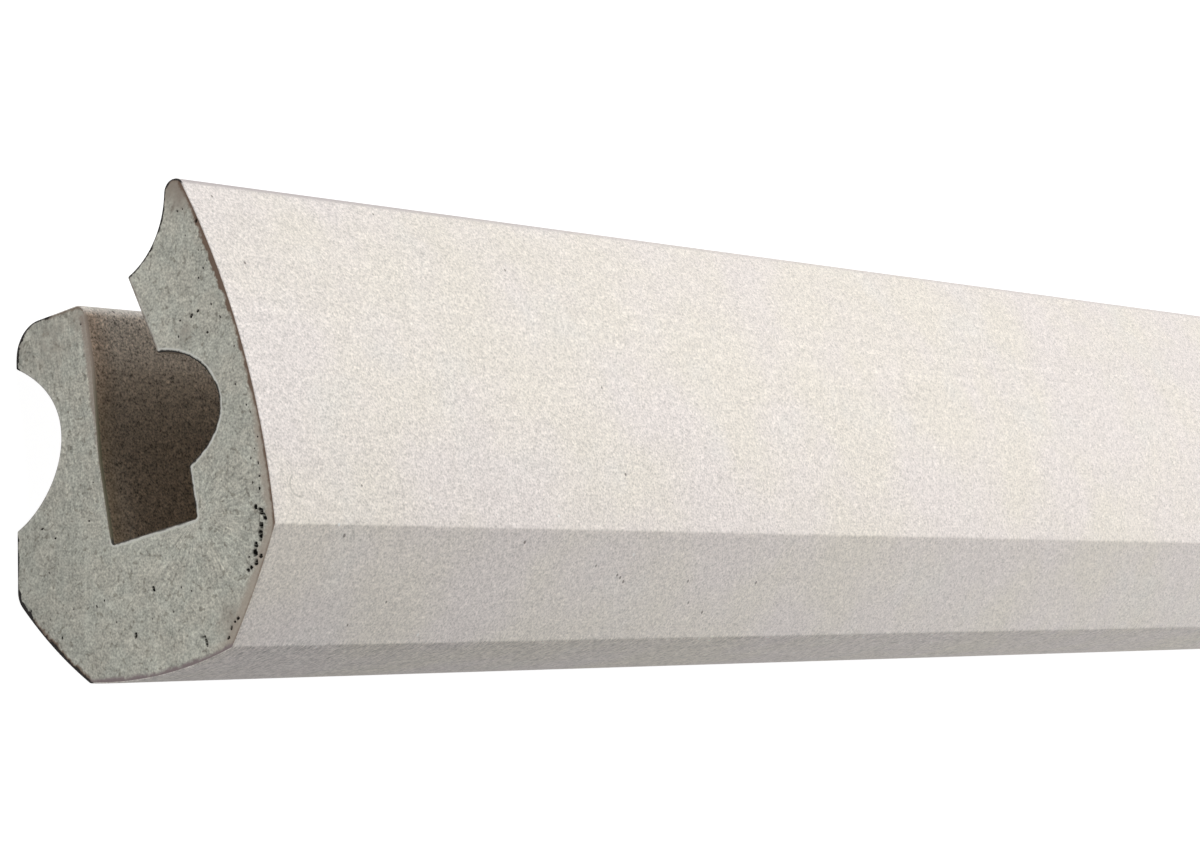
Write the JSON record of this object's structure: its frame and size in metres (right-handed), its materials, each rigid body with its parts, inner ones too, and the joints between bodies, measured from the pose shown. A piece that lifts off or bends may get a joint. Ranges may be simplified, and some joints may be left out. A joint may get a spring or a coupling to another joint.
{
  "type": "rub rail",
  "caption": "Straight extruded vinyl rub rail: a deep slot clips over a hull joint's flange, with room for its bolt ends, and a curved fender face and blade cover it outside.",
  "frame": {"origin": "centre of the bounding box's bottom: mid-length, on the plane that lies against the hull", "axes": "+X along the rail, +Z away from the hull's plane towards the outer face, +Y towards the slot's mouth, which points 11 degrees below level"},
  "size_m": [2, 0.0626, 0.0452],
  "materials": {
    "rail_vinyl": "satin"
  },
  "bodies": {
    "root": {"rub_rail": "rail_vinyl"}
  },
  "joints": []
}
